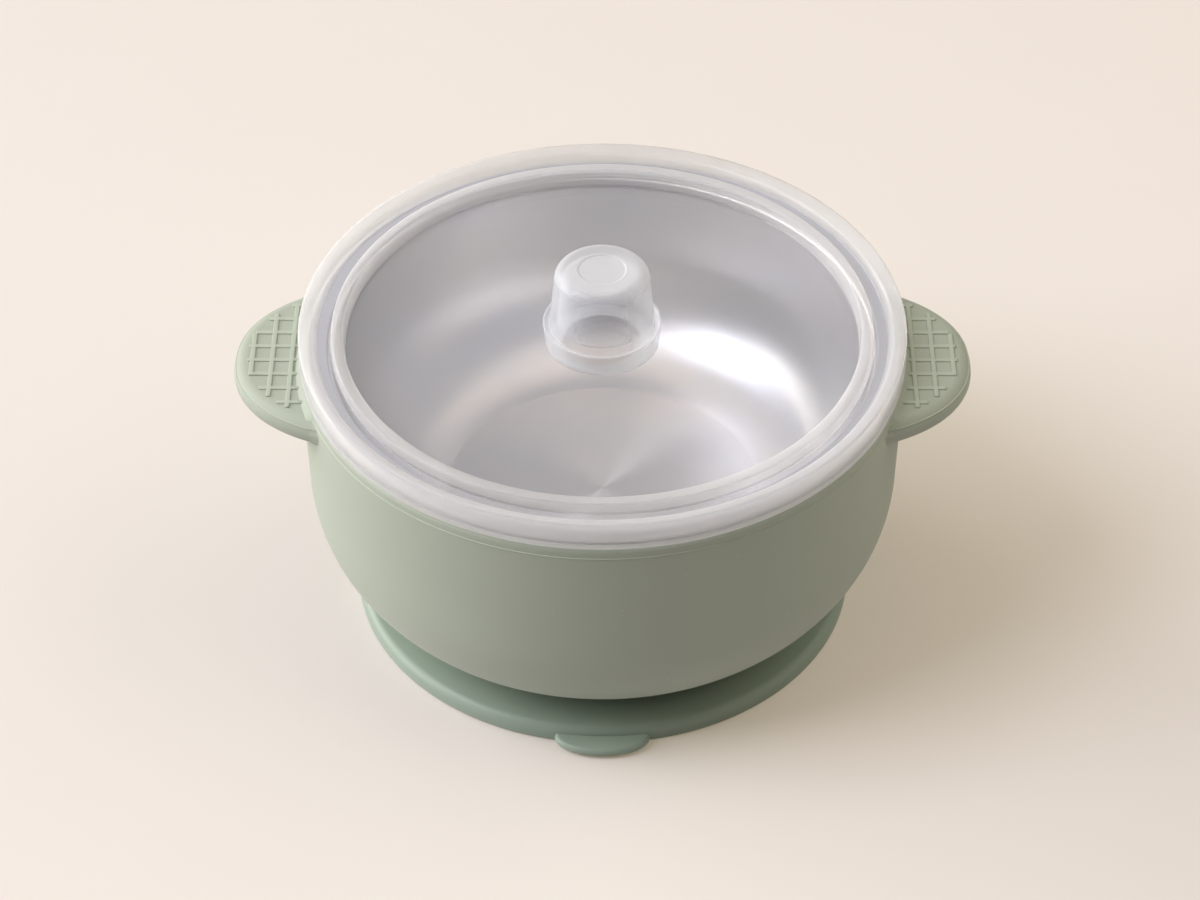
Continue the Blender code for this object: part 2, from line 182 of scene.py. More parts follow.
# Floor, camera and soft lamps: each lamp's place, width and height, colour, and if steel mirrors it
FLOOR_SIZE = 14.0
FLOOR_ROUGHNESS = 0.75
FLOOR_GLOSS = 0.2
FLOOR_DRIFT = 0.02
FLOOR_RELIEF = 0.02
SENSOR_WIDTH = 36.0
SKY_TINT = (1.0, 0.82, 0.61)
AIM = Vector((0, 0, 0.03))
LAMPS = {
    "key": ((-0.92, -0.25, 1.15), (0.8, 0.8), (0.90, 0.905, 1.0), True),
    "side": ((-4.6, 1.2, 1.59), (5.6, 2.48), (1.0, 0.967, 0.91), True),
    "bounce": ((1.05, 0.1, 1.0), (1.6, 1.0), (1.0, 0.92, 0.78), False),
    "top": ((0.0, 0.2, 1.4), (1.4, 1.4), (1.0, 0.865, 0.71), True),
}


def length(about, millimetres):
    """A length that a user may change, given in millimetres and kept in metres."""
    return FloatProperty(
        name=about, default=millimetres * MM, subtype="DISTANCE", unit="LENGTH", precision=5
    )


def slant(about, degrees):
    """An angle that a user may change, given in degrees and kept in radians."""
    return FloatProperty(name=about, default=math.radians(degrees), subtype="ANGLE")


def power(about, watts):
    """The power of a lamp."""
    return FloatProperty(name=about, default=watts, unit="POWER")


def tint(about, colour):
    """A linear colour."""
    return FloatVectorProperty(name=about, default=colour, size=3, min=0.0, max=1.0, subtype="COLOR")


class SleeveSettings(bpy.types.PropertyGroup):
    """Sizes and colour of the silicone sleeve and its handles."""

    radius: length("Outer radius of the straight wall", 64.5)
    waist: length("Outer radius where the lower corner starts", 64.2)
    straight_bottom: length("Height where the wall starts to draw in", 46.0)
    corner: length("Radius of the big lower corner", 31.3)
    corner_height: length("Height of the lower corner's centre", 35.8)
    bottom: length("Height of the flat underside", 9.0)
    floor: length("Height of the inner floor", 13.8)
    wall: length("Thickness of the wall", 3.6)
    neck_hole: length("Radius of the hole for the cup's neck", 20.3)
    mouth: length("Inner radius of the thick rim that holds the steel bowl", 59.2)
    land_top: length("Height of the land under the steel flange", 65.9)
    land_radius: length("Outer radius of that land", 61.5)
    shoulder_top: length("Height of the shoulder under the lid's lip", 64.8)
    parting_height: length("Height of the mould's parting line", 62.7)
    parting_proud: length("How far the parting line stands out", 0.16)
    handle_centre: length("Where the handle's egg-shaped outline is centred", 40.0)
    handle_reach: length("From that centre to the start of the rounded tip", 36.2)
    handle_width: length("Half the width of the outline inside its rounded edge", 24.4)
    handle_edge: length("Radius of the handle's half-round edge", 3.0)
    handle_height: length("Height of the handle's middle plane", 60.0)
    fillet: length("Radius of the fillet where a handle meets the wall", 1.6)
    rib_width: length("Width of a grip rib", 1.05)
    rib_height: length("How far a grip rib stands up", 0.36)
    rib_pitch: length("Distance between the ribs that run outward", 4.68)
    rib_shift: length("How far the ribs sit behind the handle's middle line", 0.5)
    rib_column: length("Distance of the first cross rib from the bowl's axis", 66.6)
    rib_column_pitch: length("Distance between the cross ribs", 4.25)
    ledge_bottom: length("Height where the rim starts to thicken inside", 57.0)
    ledge_top: length("Height where the rim has its full thickness", 59.0)
    hole_round: length("Rounding of the neck hole's upper edge", 0.4)
    ledge_round: length("Rounding of the ledge's two edges", 1.0)
    mouth_round: length("Rounding of the mouth's edge", 0.6)
    land_round: length("Rounding of the land's outer edge", 0.5)
    land_root: length("Rounding where the land meets the shoulder", 0.25)
    shoulder_round: length("Rounding of the shoulder's outer edge", 0.9)
    colour: tint("Colour of the sleeve", (0.392, 0.438, 0.356))


class SteelSettings(bpy.types.PropertyGroup):
    """Sizes and colour of the steel bowl."""

    floor: length("Height of the inner floor", 25.0)
    thickness: length("Thickness of the sheet", 0.8)
    corner: length("Radius between floor and wall", 24.0)
    wall_radius: length("Inner radius at the top of the corner", 57.2)
    mouth_radius: length("Inner radius under the flange", 57.9)
    flange_top: length("Height of the flange", 67.0)
    flange_radius: length("Outer radius of the turned-down lip", 62.6)
    lip_bottom: length("Height of the lip's lower edge", 65.3)
    mouth_round: length("Rounding where wall and flange meet", 0.9)
    lip_round: length("Rounding where the flange turns down", 0.8)
    lip_edge: length("Rounding of the lip's lower edge", 0.3)
    under_round: length("Rounding under the flange", 0.5)
    colour: tint("Colour of the steel", (0.60, 0.595, 0.59))
    # The floor's steel is darker and warmer than the wall's: painted shade that tones down the lamps
    # mirrored there
    floor_colour: tint("Colour of the steel floor, darkened as painted shade", (0.58, 0.568, 0.548))


class CupSettings(bpy.types.PropertyGroup):
    """Sizes and colour of the suction cup and its pull tab."""

    rim_radius: length("Outer radius of the rim", 55.0)
    rim_height: length("Height of the rim", 4.0)
    foot_inner: length("Inner radius of the flat foot", 50.4)
    web_radius: length("Radius where the web's slope changes", 42.0)
    web_top: length("Height of the web there", 5.6)
    web_thickness: length("Thickness of the web", 2.0)
    shoulder_top: length("Height of the web at the neck", 7.6)
    chamber_top: length("Height of the chamber's ceiling", 6.2)
    neck_radius: length("Radius of the neck", 20.0)
    head_radius: length("Radius of the plug's head", 24.0)
    head_bottom: length("Height of the head's underside", 14.1)
    head_top: length("Height of the head's top", 18.4)
    head_round: length("Rounding of the head's top edge", 2.6)
    head_under: length("Rounding of the head's lower edge", 0.8)
    neck_top: length("Rounding where neck and head meet", 0.3)
    neck_round: length("Rounding where neck and web meet", 1.2)
    web_round: length("Rounding of the web's change of slope", 5.0)
    rim_round: length("Rounding of the rim's top edge", 1.9)
    foot_outer: length("Rounding of the foot's outer edge", 0.9)
    foot_edge: length("Rounding of the foot's inner edge", 0.4)
    chamber_round: length("Rounding of the chamber's change of slope", 4.0)
    chamber_drop: length("How far the chamber's ceiling falls to the neck's radius", 0.3)
    tab_bend: length("Length over which the tab bends", 2.6)
    tab_root: length("How far in front of the axis the tab leaves the rim", 54.3)
    tab_reach: length("How far the tab sticks out from its root", 4.3)
    tab_half_width: length("Half the width of the tab", 9.2)
    tab_height: length("Height of the tab's middle plane", 1.5)
    tab_edge: length("Half the thickness of the tab", 1.0)
    colour: tint("Colour of the suction cup", (0.315, 0.392, 0.315))


class LidSettings(bpy.types.PropertyGroup):
    """Sizes and colours of the lid and its seal."""

    radius: length("Outer radius of the lip", 65.0)
    skirt_radius: length("Outer radius of the skirt above the lip", 64.75)
    skirt_bottom: length("Height of the lip's lower edge", 65.5)
    lip_top: length("Height of the lip's upper edge", 66.9)
    skirt_inner: length("Inner radius of the skirt", 63.2)
    underside: length("Height of the ring's underside", 68.3)
    ring_top: length("Height of the outer ring", 72.3)
    ring_slope: length("How far the ring's top falls towards the groove", 1.1)
    ring_inner: length("Inner radius of the outer ring's top", 61.9)
    ring_outer: length("Outer radius of the outer ring", 64.9)
    groove_floor: length("Height of the groove's floor", 69.2)
    groove_outer: length("Outer radius of the groove's floor", 60.9)
    rib_outer: length("Outer radius of the raised rib", 58.1)
    rib_inner: length("Inner radius of the raised rib", 55.0)
    rib_top: length("Height of the raised rib", 71.5)
    rib_lean: length("How far the rib's walls lean", 0.3)
    panel_top: length("Height of the sunken panel", 67.2)
    panel_bottom: length("Height of the panel's underside", 65.6)
    plug_radius: length("Outer radius of the plug", 57.4)
    plug_bottom: length("Height of the plug's lower edge", 65.0)
    hole: length("Radius of the hole for the knob", 8.6)
    hole_round: length("Rounding of the hole's upper edge", 0.3)
    panel_fillet: length("Fillet between panel and rib", 0.7)
    rib_round: length("Rounding of the rib's edges and foot", 0.4)
    groove_fillet: length("Fillet between groove and ring", 0.5)
    ring_inner_round: length("Rounding of the ring's inner edge", 0.6)
    ring_outer_round: length("Rounding of the ring's outer edge", 0.8)
    lip_chamfer: length("Height of the slope above the lip", 0.5)
    lip_round: length("Rounding of that slope's edges", 0.2)
    skirt_round: length("Rounding of the skirt's lower edges", 0.4)
    under_round: length("Rounding of the edges underneath", 0.3)
    plug_round: length("Rounding of the plug's lower edge", 0.6)
    plug_slope: length("Width of the slope from plug to panel", 0.6)
    slope_round: length("Rounding where that slope ends", 0.2)
    seal_round: length("Rounding of the seal's edges", 0.3)
    seal_inner: length("Inner radius of the seal", 58.8)
    seal_outer: length("Outer radius of the seal", 62.7)
    seal_bottom: length("Height of the seal's underside", 67.1)
    seal_top: length("Height of the seal's top", 68.2)
    colour: tint("Colour of the clear panel", (0.90, 0.92, 0.98))
    milky_colour: tint("Colour where the plastic is thick", (0.80, 0.80, 0.81))
    # The seal's colour is darkened and cooled as painted shade, standing in for the lid's shadow over the
    # groove
    seal_shaded_colour: tint("Colour of the seal", (0.30, 0.31, 0.345))


class KnobSettings(bpy.types.PropertyGroup):
    """Sizes and colour of the hollow knob."""

    top: length("Height of the knob", 86.4)
    top_radius: length("Radius at the top", 10.0)
    top_round: length("Rounding of the top edge", 2.4)
    cap_radius: length("Radius at the foot of the cap", 11.3)
    collar_radius: length("Outer radius of the collar", 12.7)
    collar_edge: length("Width of the collar's upper edge", 0.6)
    foot_radius: length("Outer radius of the foot", 12.2)
    collar_top: length("Height of the collar", 72.5)
    step: length("Height of the step inside the collar", 71.8)
    foot: length("Height of the foot", 67.3)
    foot_edge: length("Height of the foot's pale lower edge", 0.8)
    wall: length("Thickness of the wall", 1.5)
    bore: length("Radius of the bore", 6.9)
    bore_top: length("Height of the bore's upper end", 70.6)
    hollow_bottom: length("Height where the hollow is widest", 72.6)
    spigot: length("Radius of the spigot through the panel", 8.3)
    spigot_bottom: length("Height of the spigot's lower end", 64.0)
    barb: length("Radius of the barb under the panel", 8.9)
    barb_top: length("Height of the barb", 65.2)
    mark_radius: length("Radius of the round mark on top", 4.9)
    mark_depth: length("Depth of the round mark", 0.3)
    fine_round: length("Rounding of the mark and of the collar's inside", 0.15)
    collar_round: length("Rounding of the collar's and the cap's outer edges", 0.25)
    foot_round: length("Rounding of the foot's edge", 0.3)
    hollow_round: length("Rounding at the foot of the hollow", 0.8)
    hollow_top: length("Rounding at the top of the hollow", 1.8)
    colour: tint("Colour of the knob's plastic", (0.765, 0.785, 0.822))


class StageSettings(bpy.types.PropertyGroup):
    """Floor, camera and light."""

    floor_colour: tint("Colour of the floor under the light", (0.626, 0.604, 0.612))
    floor_pale: tint("Paleness added to the floor for the eye", (0.19, 0.158, 0.105))
    backdrop: tint("Colour of the pale backdrop", (0.335, 0.335, 0.37))
    camera_distance: length("From the camera to the point it looks at", 790.98)
    target_height: length("Height of that point", 36.04)
    target_side: length("Sideways place of that point", -0.59)
    camera_pitch: slant("Angle the camera looks down", 40.82)
    camera_roll: slant("Tilt of the picture", -0.207)
    camera_turn: slant("How far the camera stands to the side", 0.36)
    lens: FloatProperty(name="Focal length on a sensor of the set width", default=108.0)
    key_power: power("Power of the main light", 13.1)
    side_power: power("Power of the wide side panel", 275.0)
    bounce_power: power("Power of the warm bounce from the right", 8.9)
    top_power: power("Power of the overhead panel", 5.6)
    sky: FloatProperty(name="Strength of the even light from all round", default=0.03)


class BowlSettings(bpy.types.PropertyGroup):
    """All settings of the suction bowl."""

    sleeve: PointerProperty(type=SleeveSettings)
    steel: PointerProperty(type=SteelSettings)
    cup: PointerProperty(type=CupSettings)
    lid: PointerProperty(type=LidSettings)
    knob: PointerProperty(type=KnobSettings)
    stage: PointerProperty(type=StageSettings)


# Shapes


class HalfSection:
    """A half section drawn in the XZ plane and spun about the Z axis."""

    def __init__(self, radius, height):
        self.bm = bmesh.new()
        self.first = self.bm.verts.new((radius, 0, height))
        self.last = self.first
        self.rounds = []

    def line(self, radius, height, rounding=0.0, segments=PLAIN_CORNER):
        """Draw to a point whose corner may be rounded."""
        vert = self.bm.verts.new((radius, 0, height))
        self.bm.edges.new((self.last, vert))
        self.last = vert
        if rounding:
            self.rounds.append((vert, rounding, segments))

    def path(self, *corners):
        """Draw through several corners, each given as for a line."""
        for corner in corners:
            self.line(*corner)

    def rows(self, radius, height, steps, rounding=0.0, segments=PLAIN_CORNER):
        """Draw straight to a point in even steps; its corner may be rounded."""
        start = self.last.co.copy()
        for step in range(1, steps + 1):
            place = start.lerp(Vector((radius, 0, height)), step / steps)
            self.line(place.x, place.z)
        if rounding:
            self.rounds.append((self.last, rounding, segments))

    def turn(self, radius, height, angle, steps):
        """Draw an arc about a centre; a positive angle turns outward to downward."""
        made = bmesh.ops.spin(
            self.bm, geom=[self.last], cent=(radius, 0, height), axis=(0, 1, 0), angle=angle,
            steps=steps, use_merge=False, use_duplicate=False,
        )
        self.last = made["geom_last"][0]

    def close(self):
        """Join the last point to the first."""
        self.bm.edges.new((self.last, self.first))

    def spin(self, steps):
        """Round the corners, spin one sector, double it until it closes and return the mesh."""
        for vert, rounding, segments in self.rounds:
            bmesh.ops.bevel(
                self.bm, geom=[vert], offset=rounding, affect="VERTICES",
                segments=segments, profile=ROUND_PROFILE, material=-1,
            )
        done = SECTOR_STEPS
        bmesh.ops.spin(
            self.bm, geom=self.bm.verts[:] + self.bm.edges[:], cent=(0, 0, 0), axis=(0, 0, 1),
            angle=math.tau * done / steps, steps=done, use_merge=False, use_duplicate=False,
        )
        while done < steps:
            made = bmesh.ops.duplicate(self.bm, geom=self.bm.verts[:] + self.bm.edges[:] + self.bm.faces[:])
            verts = [item for item in made["geom"] if isinstance(item, bmesh.types.BMVert)]
            turn = Matrix.Rotation(math.tau * done / steps, 3, "Z")
            bmesh.ops.rotate(self.bm, cent=(0, 0, 0), matrix=turn, verts=verts)
            done *= 2
        bmesh.ops.remove_doubles(self.bm, verts=self.bm.verts, dist=MERGE_DISTANCE)
        bmesh.ops.recalc_face_normals(self.bm, faces=self.bm.faces)
        return self.bm


def new_object(name, bm):
    """Make an object from a bmesh, at the origin."""
    mesh = bpy.data.meshes.new(name)
    bm.to_mesh(mesh)
    bm.free()
    item = bpy.data.objects.new(name, mesh)
    bpy.context.scene.collection.objects.link(item)
    return item


def combine(item, other, operation, crossing=False):
    """Join another object to this one or cut it away, and drop the other, whose own parts may cross."""
    modifier = item.modifiers.new(operation.lower(), "BOOLEAN")
    modifier.object = other
    modifier.operation = operation
    modifier.solver = "EXACT"
    modifier.use_self = crossing
    apply_modifiers(item)
    bpy.data.objects.remove(other)


def apply_modifiers(item):
    """Put what an object's modifiers make into its mesh."""
    graph = bpy.context.evaluated_depsgraph_get()
    made = bpy.data.meshes.new_from_object(
        item.evaluated_get(graph), preserve_all_data_layers=True, depsgraph=graph
    )
    item.modifiers.clear()
    old = item.data
    item.data = made
    bpy.data.meshes.remove(old)


def clean(item):
    """Merge what a cut left doubled."""
    bm = bmesh.new()
    bm.from_mesh(item.data)
    bmesh.ops.remove_doubles(bm, verts=bm.verts, dist=MERGE_DISTANCE)
    bmesh.ops.dissolve_degenerate(bm, edges=bm.edges, dist=MERGE_DISTANCE)
    bm.to_mesh(item.data)
    bm.free()


def dress(item, material, nodes):
    """Give a piece its smooth shading and material, and hide the imported nodes it stands for."""
    item.data.shade_smooth()
    item.data.set_sharp_from_angle(angle=SMOOTH_ANGLE)
    item.modifiers.new("flat_faces", "WEIGHTED_NORMAL").keep_sharp = True
    apply_modifiers(item)
    item.data.materials.clear()
    item.data.materials.append(material)
    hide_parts(*nodes)


def finish_faces(item, materials, choose):
    """Add further materials and give each face the one that is chosen for it."""
    for material in materials:
        item.data.materials.append(material)
    for face in item.data.polygons:
        face.material_index = choose(face)


def egg_point(angle, centre, reach, half_width, power):
    """A point on an egg-shaped outline that is a little squarer than an ellipse."""
    across = math.copysign(abs(math.cos(angle)) ** (2 / power), math.cos(angle))
    along = math.copysign(abs(math.sin(angle)) ** (2 / power), math.sin(angle))
    return centre + reach * across, half_width * along


def rounded_slab(outline, height, edge, steps, points, ridge=None):
    """A flat slab with a half-round edge: outline gives a point for an angle and a growth."""
    bm = bmesh.new()
    ring = bmesh.ops.create_circle(bm, segments=points, radius=1.0)["verts"]
    angles = [math.tau * index / points for index in range(points)]
    levels = [(math.pi * step / steps - math.pi / 2, 0.0) for step in range(steps + 1)]
    if ridge:
        turn, proud, width = ridge
        levels += [(turn - width, 0.0), (turn, proud), (turn + width, 0.0)]
        levels.sort()
    for index, (turn, proud) in enumerate(levels):
        if index:
            members = set(ring)
            edges = [side for side in bm.edges if members.issuperset(side.verts)]
            made = bmesh.ops.extrude_edge_only(bm, edges=edges)["geom"]
            after = {vert for vert in made if isinstance(vert, bmesh.types.BMVert)}
            ring = [match_vert(vert, after) for vert in ring]
        for vert, angle in zip(ring, angles):
            x, y = outline(angle, (edge + proud) * math.cos(turn))
            vert.co = (x, y, height + (edge + proud) * math.sin(turn))
    bmesh.ops.holes_fill(bm, edges=[side for side in bm.edges if side.is_boundary], sides=0)
    bmesh.ops.recalc_face_normals(bm, faces=bm.faces)
    return bm


def match_vert(vert, candidates):
    """The extruded copy of a vertex, which shares an edge with it."""
    for edge in vert.link_edges:
        other = edge.other_vert(vert)
        if other in candidates:
            return other
    raise RuntimeError("an extruded ring lost a vertex")


# Materials


def add_node(tree, kind, values=None, **options):
    """Add a shader node beside the last one, with its options and input values."""
    made = tree.nodes.new(kind)
    made.location.x = NODE_STEP * len(tree.nodes)
    for key, value in options.items():
        setattr(made, key, value)
    for key, value in (values or {}).items():
        made.inputs[key].default_value = value
    return made


def join(tree, *pairs):
    """Link each output to its input."""
    for source, target in pairs:
        tree.links.new(source, target)


def new_material(name):
    """An empty node material with its Principled shader and output."""
    material = bpy.data.materials.new(name)
    material.use_nodes = True
    tree = material.node_tree
    tree.nodes.clear()
    output = add_node(tree, "ShaderNodeOutputMaterial")
    shader = add_node(tree, "ShaderNodeBsdfPrincipled")
    join(tree, (shader.outputs["BSDF"], output.inputs["Surface"]))
    return material, tree, shader


def grain_drift(group, start, place):
    """Slow drift: its swing about nought, and the colour that it lightens and darkens."""
    slow = add_node(group, "ShaderNodeTexNoise", DRIFT_NOISE)
    centred = add_node(group, "ShaderNodeMath", {1: 0.5}, operation="SUBTRACT")
    swing = add_node(group, "ShaderNodeMath", operation="MULTIPLY")
    gain = add_node(group, "ShaderNodeMath", {1: 1.0}, operation="ADD")
    shade = add_node(group, "ShaderNodeVectorMath", operation="SCALE")
    join(
        group,
        (place, slow.inputs["Vector"]),
        (slow.outputs["Fac"], centred.inputs[0]),
        (centred.outputs[0], swing.inputs[0]),
        (start.outputs["Drift"], swing.inputs[1]),
        (swing.outputs[0], gain.inputs[0]),
        (start.outputs["Colour"], shade.inputs[0]),
        (gain.outputs[0], shade.inputs["Scale"]),
    )
    return swing.outputs[0], shade.outputs[0]


def grain_dust(group, start, place):
    """Mask of the stray dust specks."""
    speck = add_node(group, "ShaderNodeTexVoronoi", SPECK_CELLS)
    low, high = SPECK_EDGE
    dot = add_node(group, "ShaderNodeMapRange", {1: low, 2: high, 3: 1.0, 4: 0.0})
    dust = add_node(group, "ShaderNodeMath", operation="MULTIPLY")
    join(
        group,
        (place, speck.inputs["Vector"]),
        (speck.outputs["Distance"], dot.inputs[0]),
        (dot.outputs[0], dust.inputs[0]),
        (start.outputs["Dust"], dust.inputs[1]),
    )
    return dust.outputs[0]


def grain_group():
    """Shared surface life: slow colour drift, fine moulding grain and stray dust specks."""
    found = bpy.data.node_groups.get("moulded_grain")
    if found:
        return found
    group = bpy.data.node_groups.new("moulded_grain", "ShaderNodeTree")
    for name, way, kind in GRAIN_SOCKETS:
        group.interface.new_socket(name, in_out=way, socket_type=kind)
    start = add_node(group, "NodeGroupInput")
    end = add_node(group, "NodeGroupOutput")
    place = add_node(group, "ShaderNodeTexCoord").outputs["Object"]
    swing, shade = grain_drift(group, start, place)
    dust = grain_dust(group, start, place)
    fine = add_node(group, "ShaderNodeTexNoise", FINE_NOISE)
    mix = add_node(group, "ShaderNodeMix", {7: DUST_COLOUR}, data_type="RGBA")
    rough = add_node(group, "ShaderNodeMath", {1: ROUGHNESS_SWING}, operation="MULTIPLY_ADD")
    join(
        group,
        (place, fine.inputs["Vector"]),
        (dust, mix.inputs[0]),
        (shade, mix.inputs[6]),
        (swing, rough.inputs[0]),
        (start.outputs["Roughness"], rough.inputs[2]),
        (mix.outputs[2], end.inputs["Colour"]),
        (rough.outputs[0], end.inputs["Roughness"]),
        (fine.outputs["Fac"], end.inputs["Height"]),
    )
    return group


def add_grain(tree, shader, colour, roughness, drift, dust, relief=0.0):
    """Feed a shader's colour, roughness and, where there is relief, its normal from the shared grain."""
    grain = add_node(tree, "ShaderNodeGroup", node_tree=grain_group())
    grain.inputs["Colour"].default_value = (*colour, 1.0)
    grain.inputs["Roughness"].default_value = roughness
    grain.inputs["Drift"].default_value = drift
    grain.inputs["Dust"].default_value = dust
    join(
        tree,
        (grain.outputs["Colour"], shader.inputs["Base Color"]),
        (grain.outputs["Roughness"], shader.inputs["Roughness"]),
    )
    if relief:
        bump = add_node(tree, "ShaderNodeBump", {"Strength": relief, "Distance": GRAIN_DEPTH})
        join(
            tree,
            (grain.outputs["Height"], bump.inputs["Height"]),
            (bump.outputs["Normal"], shader.inputs["Normal"]),
        )
    return grain


def within(tree, value, low, high):
    """A mask that is one where a value lies between two limits."""
    limits = {1: (low + high) / 2, 2: (high - low) / 2}
    mask = add_node(tree, "ShaderNodeMath", limits, operation="COMPARE")
    join(tree, (value, mask.inputs[0]))
    return mask.outputs[0]


def painted_highlight_mask(tree, bands):
    """A mask of the raised edges that get a painted highlight, each a band of heights and of radii."""
    place = add_node(tree, "ShaderNodeTexCoord").outputs["Object"]
    split = add_node(tree, "ShaderNodeSeparateXYZ")
    flat = add_node(tree, "ShaderNodeVectorMath", {1: (1.0, 1.0, 0.0)}, operation="MULTIPLY")
    radius = add_node(tree, "ShaderNodeVectorMath", operation="LENGTH")
    join(tree, (place, split.inputs[0]), (place, flat.inputs[0]), (flat.outputs[0], radius.inputs[0]))
    total = None
    for heights, radii in bands:
        both = add_node(tree, "ShaderNodeMath", operation="MULTIPLY")
        join(
            tree,
            (within(tree, split.outputs["Z"], *heights), both.inputs[0]),
            (within(tree, radius.outputs["Value"], *radii), both.inputs[1]),
        )
        if total:
            more = add_node(tree, "ShaderNodeMath", operation="MAXIMUM")
            join(tree, (total, more.inputs[0]), (both.outputs[0], more.inputs[1]))
            both = more
        total = both.outputs[0]
    return total


def silicone_material(name, colour, surface, bands=()):
    """Matte moulded silicone with a powdery bloom at glancing angles, and a painted highlight in some
    bands.
    """
    material, tree, shader = new_material(name)
    roughness, dust = surface
    grain = add_grain(tree, shader, colour, roughness, SILICONE_DRIFT, dust, SILICONE_RELIEF)
    # Painted highlight: the rib tops and parting lines are lightened in colour
    if bands:
        mix = add_node(tree, "ShaderNodeMix", data_type="RGBA")
        mix.inputs[6].default_value = (*colour, 1.0)
        mix.inputs[7].default_value = (*[PAINTED_HIGHLIGHT_GAIN * part for part in colour], 1.0)
        join(tree, (painted_highlight_mask(tree, bands), mix.inputs[0]), (mix.outputs[2], grain.inputs["Colour"]))
    shader.inputs["Specular IOR Level"].default_value = SILICONE_GLOSS
    shader.inputs["Sheen Weight"].default_value = BLOOM_WEIGHT
    shader.inputs["Sheen Roughness"].default_value = BLOOM_ROUGHNESS
    return material


def spun_rings(tree):
    """The place on a piece, and one that is the same all round each ring about the axis."""
    place = add_node(tree, "ShaderNodeTexCoord").outputs["Object"]
    split = add_node(tree, "ShaderNodeSeparateXYZ")
    flat = add_node(tree, "ShaderNodeCombineXYZ")
    radius = add_node(tree, "ShaderNodeVectorMath", operation="LENGTH")
    ring = add_node(tree, "ShaderNodeCombineXYZ")
    join(
        tree,
        (place, split.inputs[0]),
        (split.outputs["X"], flat.inputs["X"]),
        (split.outputs["Y"], flat.inputs["Y"]),
        (flat.outputs[0], radius.inputs[0]),
        (radius.outputs["Value"], ring.inputs["X"]),
        (split.outputs["Z"], ring.inputs["Y"]),
    )
    return place, ring.outputs[0]


def steel_material(name, colour, stretch, turn):
    """Spun steel: rings about the axis stretch the highlights and streak the roughness."""
    material, tree, shader = new_material(name)
    place, ring = spun_rings(tree)
    fine = add_node(tree, "ShaderNodeTexNoise", RING_FINE_NOISE)
    broad = add_node(tree, "ShaderNodeTexNoise", RING_BROAD_NOISE)
    cloud = add_node(tree, "ShaderNodeTexNoise", CLOUD_NOISE)
    streak = add_node(tree, "ShaderNodeMath", operation="ADD")
    limits = (*STREAK_RANGE, STEEL_ROUGHNESS - STEEL_STREAK, STEEL_ROUGHNESS + STEEL_STREAK)
    rough = add_node(tree, "ShaderNodeMapRange", dict(enumerate(limits, start=1)))
    ramp = add_node(tree, "ShaderNodeValToRGB")
    for element, position, tone in zip(ramp.color_ramp.elements, CLOUD_RANGE, (COOL_TONE, WARM_TONE)):
        element.position = position
        element.color = (*[value * part for value, part in zip(colour, tone)], 1.0)
    bump = add_node(tree, "ShaderNodeBump", {"Strength": STEEL_RELIEF, "Distance": STEEL_DEPTH})
    tangent = add_node(tree, "ShaderNodeTangent", direction_type="RADIAL", axis="Z")
    join(
        tree,
        (ring, fine.inputs["Vector"]),
        (ring, broad.inputs["Vector"]),
        (place, cloud.inputs["Vector"]),
        (fine.outputs["Fac"], streak.inputs[0]),
        (broad.outputs["Fac"], streak.inputs[1]),
        (streak.outputs[0], rough.inputs[0]),
        (rough.outputs[0], shader.inputs["Roughness"]),
        (cloud.outputs["Fac"], ramp.inputs[0]),
        (ramp.outputs[0], shader.inputs["Base Color"]),
        (fine.outputs["Fac"], bump.inputs["Height"]),
        (bump.outputs["Normal"], shader.inputs["Normal"]),
        (tangent.outputs["Tangent"], shader.inputs["Tangent"]),
    )
    shader.inputs["Metallic"].default_value = 1.0
    shader.inputs["Anisotropic"].default_value = stretch
    shader.inputs["Anisotropic Rotation"].default_value = turn
    return material


def milky_material(name, colour, finish):
    """Clear or milky plastic, denser edge on, with a pale shadow; light spreads inside where it glows."""
    material, tree, shader = new_material(name)
    roughness, face_on, edge_on, glow = finish
    add_grain(tree, shader, colour, roughness, PLASTIC_DRIFT, PLASTIC_DUST)
    angle = add_node(tree, "ShaderNodeLayerWeight", {"Blend": 0.5})
    dense = add_node(tree, "ShaderNodeMapRange", {3: face_on, 4: edge_on})
    path = add_node(tree, "ShaderNodeLightPath")
    thin = {1: SHADOW_SHARE - 1, 2: 1.0}
    shade = add_node(tree, "ShaderNodeMath", thin, operation="MULTIPLY_ADD")
    alpha = add_node(tree, "ShaderNodeMath", operation="MULTIPLY")
    join(
        tree,
        (angle.outputs["Facing"], dense.inputs[0]),
        (path.outputs["Is Shadow Ray"], shade.inputs[0]),
        (dense.outputs[0], alpha.inputs[0]),
        (shade.outputs[0], alpha.inputs[1]),
        (alpha.outputs[0], shader.inputs["Alpha"]),
    )
    shader.inputs["Subsurface Weight"].default_value = glow
    shader.inputs["Subsurface Radius"].default_value = (1.0, 1.0, 1.0)
    shader.inputs["Subsurface Scale"].default_value = GLOW_REACH
    return material


def seen_mask(tree):
    """One for rays that reach the eye directly, off gloss or through plastic, and nought for the rest."""
    path = add_node(tree, "ShaderNodeLightPath")
    seen = path.outputs["Is Camera Ray"]
    for kind in ("Is Glossy Ray", "Is Transmission Ray"):
        either = add_node(tree, "ShaderNodeMath", operation="MAXIMUM")
        join(tree, (seen, either.inputs[0]), (path.outputs[kind], either.inputs[1]))
        seen = either.outputs[0]
    return seen


